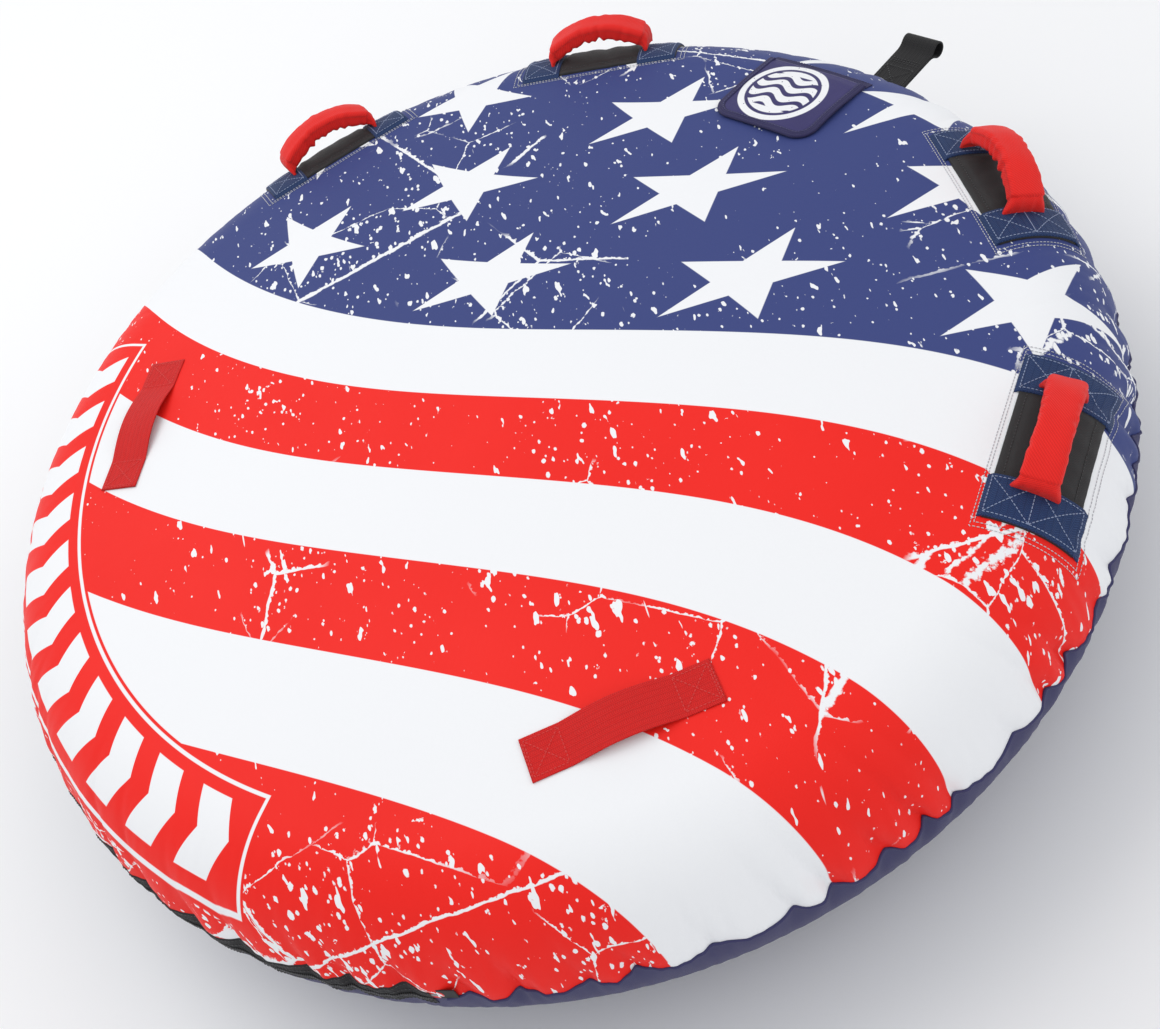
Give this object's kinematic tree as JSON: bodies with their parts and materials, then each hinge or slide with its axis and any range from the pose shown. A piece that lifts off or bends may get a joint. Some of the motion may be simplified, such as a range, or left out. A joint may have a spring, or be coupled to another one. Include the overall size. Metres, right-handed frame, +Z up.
{
  "type": "towable tube",
  "caption": "Round inflatable deck tube in a zipped two-panel cloth cover, with padded grips, grab straps, a hinged flap over the inflation valve and a webbing tow loop.",
  "frame": {"origin": "centre of the flat patch on the underside that the tube rests on", "axes": "+Z up; -Y towards the tow loop, +Y towards the zip; +X is the left side of a rider who faces the tow loop"},
  "size_m": [1.3064, 1.4278, 0.3545],
  "materials": {
    "cover_print": "satin",
    "cover_under": "satin",
    "bladder_vinyl": "satin",
    "zip_tape": "matte",
    "zip_coil": "satin",
    "zip_metal": "satin",
    "valve_plastic": "satin",
    "valve_rubber": "matte",
    "flap_cloth": "satin",
    "hook_and_loop": "matte",
    "grip_pad": "matte",
    "navy_webbing": "satin",
    "grip_sleeve": "satin",
    "grip_foam": "matte",
    "black_webbing": "satin",
    "red_webbing": "satin"
  },
  "bodies": {
    "tube": {"cover_top_panel": "cover_print", "cover_bottom_panel": "cover_under", "bladder_upper_sheet": "bladder_vinyl", "bladder_lower_sheet": "bladder_vinyl", "seam_welt": "cover_under", "zip_tape_upper": "zip_tape", "zip_coil_upper": "zip_coil", "zip_tape_lower": "zip_tape", "zip_coil_lower": "zip_coil", "zip_stops": "zip_metal", "zip_end_patches": "zip_tape", "valve_flange": "bladder_vinyl", "valve_housing": "valve_plastic", "valve_diaphragm": "valve_rubber", "valve_seal_ring": "valve_rubber", "valve_opening_binding": "cover_under", "flap_loop_patch": "hook_and_loop", "flap_hinge_tape": "flap_cloth", "grip_front_left_pad": "grip_pad", "grip_front_left_web_front": "navy_webbing", "grip_front_left_web_rear": "navy_webbing", "grip_side_left_pad": "grip_pad", "grip_side_left_web_front": "navy_webbing", "grip_side_left_web_rear": "navy_webbing", "grip_side_right_pad": "grip_pad", "grip_side_right_web_front": "navy_webbing", "grip_side_right_web_rear": "navy_webbing", "grip_front_right_pad": "grip_pad", "grip_front_right_web_front": "navy_webbing", "grip_front_right_web_rear": "navy_webbing", "grab_strap_left": "red_webbing", "grab_strap_right": "red_webbing", "tow_anchor_patch": "cover_under", "tow_anchor_webbing": "black_webbing"},
    "valve_flap": {"valve_flap_panel": "flap_cloth", "valve_flap_binding": "flap_cloth", "flap_hook_patch": "hook_and_loop"},
    "valve_cap": {"valve_cap": "valve_plastic"},
    "tow_loop": {"tow_loop_webbing": "black_webbing"},
    "zip_slider": {"zip_slider_body": "zip_metal"},
    "zip_pull": {"zip_pull_tab": "zip_metal"},
    "grip_front_left": {"grip_front_left_sleeve": "grip_sleeve", "grip_front_left_foam": "grip_foam", "grip_front_left_core": "black_webbing"},
    "grip_side_left": {"grip_side_left_sleeve": "grip_sleeve", "grip_side_left_foam": "grip_foam", "grip_side_left_core": "black_webbing"},
    "grip_side_right": {"grip_side_right_sleeve": "grip_sleeve", "grip_side_right_foam": "grip_foam", "grip_side_right_core": "black_webbing"},
    "grip_front_right": {"grip_front_right_sleeve": "grip_sleeve", "grip_front_right_foam": "grip_foam", "grip_front_right_core": "black_webbing"}
  },
  "joints": [
    {"name": "valve_flap_hinge", "type": "hinge", "parent": "tube", "child": "valve_flap", "pos_m": [0, -0.56515, 0.31427], "axis": [1, 0, 0], "range_deg": [0, 150]},
    {"name": "valve_cap_hinge", "type": "hinge", "parent": "tube", "child": "valve_cap", "pos_m": [0, -0.52908, 0.31735], "axis": [1, 0, 0], "range_deg": [0, 75]},
    {"name": "tow_loop_swing", "type": "hinge", "parent": "tube", "child": "tow_loop", "pos_m": [0, -0.6563, 0.2], "axis": [-1, 0, 0], "range_deg": [-85, 95], "stiffness_Nm_per_rad": 0.2, "springref_deg": 1.72},
    {"name": "grip_front_left_swing", "type": "hinge", "parent": "tube", "child": "grip_front_left", "pos_m": [0.30368, -0.499, 0.31203], "axis": [0.8111, 0.585, 0], "range_deg": [-11, 39], "stiffness_Nm_per_rad": 0.25},
    {"name": "grip_side_left_swing", "type": "hinge", "parent": "tube", "child": "grip_side_left", "pos_m": [0.54718, -0.20452, 0.31203], "axis": [0.3338, 0.9426, 0], "range_deg": [-11, 39], "stiffness_Nm_per_rad": 0.25},
    {"name": "grip_side_right_swing", "type": "hinge", "parent": "tube", "child": "grip_side_right", "pos_m": [-0.54718, -0.20452, 0.31203], "axis": [0.3338, -0.9426, 0], "range_deg": [-17, 33], "stiffness_Nm_per_rad": 0.25},
    {"name": "grip_front_right_swing", "type": "hinge", "parent": "tube", "child": "grip_front_right", "pos_m": [-0.30368, -0.499, 0.31203], "axis": [0.8111, -0.585, 0], "range_deg": [-25, 25], "stiffness_Nm_per_rad": 0.25},
    {"name": "zip_slider_travel", "type": "hinge", "parent": "tube", "child": "zip_slider", "pos_m": [0, 0, 0.2], "axis": [0, 0, 1], "range_deg": [0, 58.95]},
    {"name": "zip_pull_swing", "type": "hinge", "parent": "zip_slider", "child": "zip_pull", "pos_m": [0.32347, 0.57231, 0.2015], "axis": [0.8706, -0.492, 0], "range_deg": [-8, 150]}
  ],
  "couplings": [
    {"joint": "valve_cap_hinge", "follows": "valve_flap_hinge", "ratio": 0.5}
  ]
}
